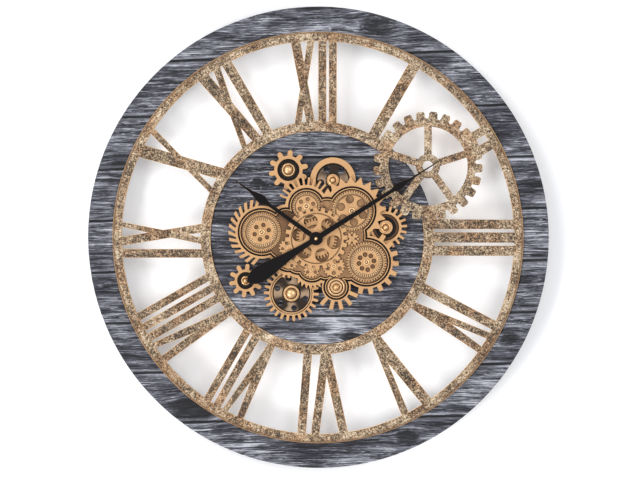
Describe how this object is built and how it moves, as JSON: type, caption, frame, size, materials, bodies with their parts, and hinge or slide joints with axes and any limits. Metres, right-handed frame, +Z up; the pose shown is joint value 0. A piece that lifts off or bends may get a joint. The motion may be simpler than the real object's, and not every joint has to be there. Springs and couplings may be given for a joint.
{
  "type": "gear wall clock",
  "caption": "Round open wall clock with a wooden ring, cut-out Roman numerals, a cast gear cover and gears that turn in front of a wooden disc.",
  "frame": {"origin": "on the axis of the hands, in the plane of the wall behind the clock, which is the back face of the movement case", "axes": "+Z up the dial towards XII, +X to the right as one looks at the dial, +Y into the wall, so the dial faces -Y"},
  "size_m": [0.6099, 0.0554, 0.61],
  "materials": {
    "wood": "dark grey weathered planks, matt",
    "dial_sheet": "bronze with brown and cream speckles, satin",
    "spacer_rubber": "matt",
    "steel": "satin",
    "black_plastic": "matt",
    "white_plastic": "natural white",
    "gold_plastic": "antique gold, dark in the recesses",
    "brass": "polished",
    "hand_black": "satin black",
    "cell": "plain wrap, no print"
  },
  "bodies": {
    "clock": {"wood_ring": "wood", "centre_disc": "wood", "outer_band": "dial_sheet", "inner_band": "dial_sheet", "open_gear": "dial_sheet", "numeral_i": "dial_sheet", "numeral_ii": "dial_sheet", "numeral_iii": "dial_sheet", "numeral_iv": "dial_sheet", "numeral_v": "dial_sheet", "numeral_vi": "dial_sheet", "numeral_vii": "dial_sheet", "numeral_viii": "dial_sheet", "numeral_ix": "dial_sheet", "numeral_x": "dial_sheet", "numeral_xi": "dial_sheet", "numeral_xii": "dial_sheet", "wall_spacers": "spacer_rubber", "hanger": "steel", "hanger_screws": "steel", "gearbox_back": "black_plastic", "gearbox_front": "black_plastic", "gearbox_screws": "steel", "motor": "steel", "gear_cover": "gold_plastic", "cover_pillars": "black_plastic", "cover_nut": "brass", "movement_case": "black_plastic", "movement_lid": "black_plastic", "clamp_nut": "brass", "battery_box": "black_plastic", "cells": "cell"},
    "minute": {"minute_shaft": "steel", "minute_hand": "hand_black", "hand_cap": "brass"},
    "hour": {"hour_wheel": "white_plastic", "hour_hand": "hand_black"},
    "motion": {"motion_wheel": "white_plastic"},
    "drive": {"drive_wheel": "white_plastic", "window_gear": "gold_plastic"},
    "top_left": {"arbor_top_left": "steel", "gear_top_left": "gold_plastic", "nut_top_left": "brass"},
    "top": {"arbor_top": "steel", "wheel_top": "gold_plastic", "nut_top": "brass"},
    "right": {"arbor_right": "steel", "gear_right": "gold_plastic", "nut_right": "brass"},
    "bottom": {"arbor_bottom": "steel", "gear_bottom": "gold_plastic", "nut_bottom": "brass"},
    "bottom_left": {"arbor_bottom_left": "steel", "gear_bottom_left": "gold_plastic", "nut_bottom_left": "brass"},
    "idler": {"idler": "white_plastic"},
    "rotor": {"motor_pinion": "white_plastic"},
    "door": {"battery_door": "black_plastic"},
    "switch": {"power_switch": "white_plastic"}
  },
  "joints": [
    {"name": "minute_turn", "type": "hinge", "parent": "clock", "child": "minute", "pos_m": [0, -0.02, 0], "axis": [0, 1, 0], "continuous": true},
    {"name": "hour_turn", "type": "hinge", "parent": "clock", "child": "hour", "pos_m": [0, -0.02, 0], "axis": [0, 1, 0], "continuous": true},
    {"name": "drive_turn", "type": "hinge", "parent": "clock", "child": "drive", "pos_m": [0, -0.02, 0], "axis": [0, 1, 0], "continuous": true},
    {"name": "motion_turn", "type": "hinge", "parent": "clock", "child": "motion", "pos_m": [-0.0105, -0.02, 0], "axis": [0, 1, 0], "continuous": true},
    {"name": "rotor_turn", "type": "hinge", "parent": "clock", "child": "rotor", "pos_m": [0.05303, -0.02, -0.05303], "axis": [0, 1, 0], "continuous": true},
    {"name": "idler_turn", "type": "hinge", "parent": "clock", "child": "idler", "pos_m": [-0.06981, -0.02, -0.0348], "axis": [0, 1, 0], "continuous": true},
    {"name": "top_left_turn", "type": "hinge", "parent": "clock", "child": "top_left", "pos_m": [-0.03731, -0.02, 0.09008], "axis": [0, 1, 0], "continuous": true},
    {"name": "top_turn", "type": "hinge", "parent": "clock", "child": "top", "pos_m": [0.02138, -0.02, 0.07657], "axis": [0, 1, 0], "continuous": true},
    {"name": "right_turn", "type": "hinge", "parent": "clock", "child": "right", "pos_m": [0.09109, -0.02, 0.01459], "axis": [0, 1, 0], "continuous": true},
    {"name": "bottom_turn", "type": "hinge", "parent": "clock", "child": "bottom", "pos_m": [-0.03341, -0.02, -0.07297], "axis": [0, 1, 0], "continuous": true},
    {"name": "bottom_left_turn", "type": "hinge", "parent": "clock", "child": "bottom_left", "pos_m": [-0.09392, -0.02, -0.05622], "axis": [0, 1, 0], "continuous": true},
    {"name": "door_slide", "type": "slide", "parent": "clock", "child": "door", "axis": [-1, 0, 0], "range_m": [0, 0.054]},
    {"name": "switch_slide", "type": "slide", "parent": "clock", "child": "switch", "axis": [0, 0, 1], "range_m": [-0.0015, 0.0015]}
  ],
  "couplings": [
    {"joint": "hour_turn", "follows": "minute_turn", "ratio": 0.083333},
    {"joint": "motion_turn", "follows": "minute_turn", "ratio": -0.33333},
    {"joint": "top_left_turn", "follows": "drive_turn", "ratio": -2.0952},
    {"joint": "top_turn", "follows": "drive_turn", "ratio": -4.8889},
    {"joint": "right_turn", "follows": "drive_turn", "ratio": -2.5143},
    {"joint": "bottom_turn", "follows": "drive_turn", "ratio": -4.6316},
    {"joint": "idler_turn", "follows": "drive_turn", "ratio": -5.5},
    {"joint": "bottom_left_turn", "follows": "drive_turn", "ratio": 3.2593},
    {"joint": "rotor_turn", "follows": "drive_turn", "ratio": -7.3333}
  ]
}
